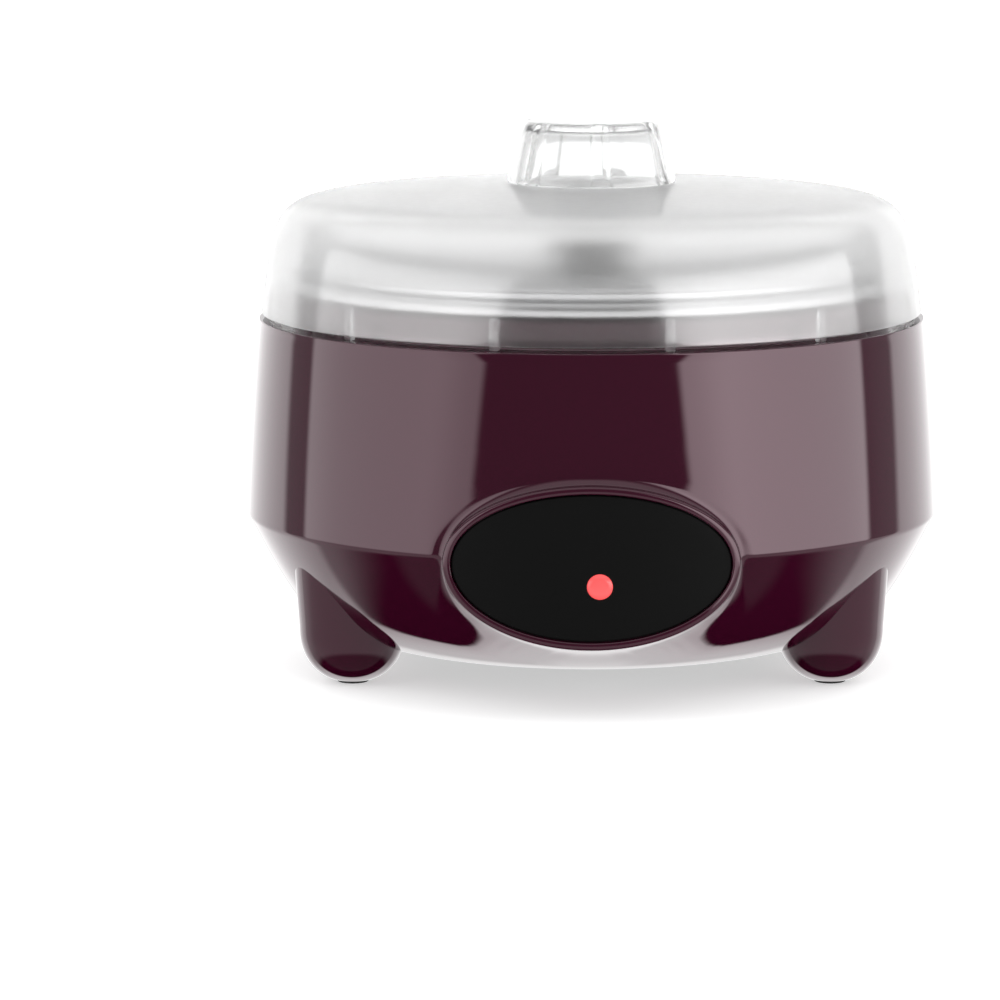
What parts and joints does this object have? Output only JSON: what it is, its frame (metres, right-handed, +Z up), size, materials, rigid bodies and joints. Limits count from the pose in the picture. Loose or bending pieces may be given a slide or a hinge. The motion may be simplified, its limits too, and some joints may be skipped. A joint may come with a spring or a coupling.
{
  "type": "yogurt maker",
  "caption": "Round electric yogurt maker with a glossy housing on feet, a steel pot with its own lid, and a frosted dome with a fluted knob.",
  "frame": {"origin": "centre line of the pot, at the level of the foot pads' undersides", "axes": "+Z up along the centre line, -Y to the front where the window is, +X to the right seen from the front"},
  "size_m": [0.1756, 0.1778, 0.1379],
  "materials": {
    "housing_plum": "deep plum, high gloss",
    "window_black": "black, high gloss",
    "lens_red": "red, lit from behind",
    "led_tinted": "tinted clear",
    "board_green": "coated circuit board",
    "screw_steel": "zinc plated",
    "pad_rubber": "matte",
    "cover_black": "fine texture",
    "plate_aluminium": "rolled",
    "film_brown": "polyimide film",
    "pad_felt": "mineral felt",
    "fuse_brass": "bright",
    "block_ivory": "moulded",
    "wire_brown": "insulation",
    "wire_blue": "insulation",
    "wire_white": "insulation",
    "pot_steel": "satin, spun",
    "knob_black": "satin black",
    "dome_frosted": "frosted inside, glossy outside",
    "knob_clear": "clear, high gloss"
  },
  "bodies": {
    "base": {"body_shell": "housing_plum", "front_window": "window_black", "indicator_lens": "lens_red", "indicator_led": "led_tinted", "lamp_board": "board_green", "board_screw_left": "screw_steel", "board_screw_right": "screw_steel", "foot_front_left": "housing_plum", "foot_front_right": "housing_plum", "foot_rear": "housing_plum", "foot_pad_front_left": "pad_rubber", "foot_pad_front_right": "pad_rubber", "foot_pad_rear": "pad_rubber", "foot_screw_front_left": "screw_steel", "foot_screw_front_right": "screw_steel", "foot_screw_rear": "screw_steel", "base_cover": "cover_black", "cover_screw_1": "screw_steel", "cover_screw_2": "screw_steel", "cover_screw_3": "screw_steel", "cord_gland": "cover_black", "inner_liner": "housing_plum", "heating_plate": "plate_aluminium", "heater_film": "film_brown", "insulation_pad": "pad_felt", "heater_retainer": "screw_steel", "heater_screw_1": "screw_steel", "heater_screw_2": "screw_steel", "heater_screw_3": "screw_steel", "thermostat": "cover_black", "thermal_fuse": "fuse_brass", "terminal_block": "block_ivory", "lead_live": "wire_brown", "lead_fuse": "wire_brown", "lead_thermostat": "wire_brown", "lead_neutral": "wire_blue", "lead_lamp": "wire_white"},
    "pot": {"inner_pot": "pot_steel"},
    "inner_lid": {"inner_lid": "pot_steel", "inner_lid_knob": "knob_black", "inner_lid_screw": "screw_steel"},
    "outer_lid": {"outer_lid": "dome_frosted", "lid_knob": "knob_clear"}
  },
  "joints": [
    {"name": "pot_lift", "type": "slide", "parent": "base", "child": "pot", "axis": [0, 0, 1], "range_m": [0, 0.11]},
    {"name": "inner_lid_lift", "type": "slide", "parent": "pot", "child": "inner_lid", "axis": [0, 0, 1], "range_m": [0, 0.06]},
    {"name": "outer_lid_lift", "type": "slide", "parent": "inner_lid", "child": "outer_lid", "axis": [0, 0, 1], "range_m": [0, 0.08]}
  ]
}
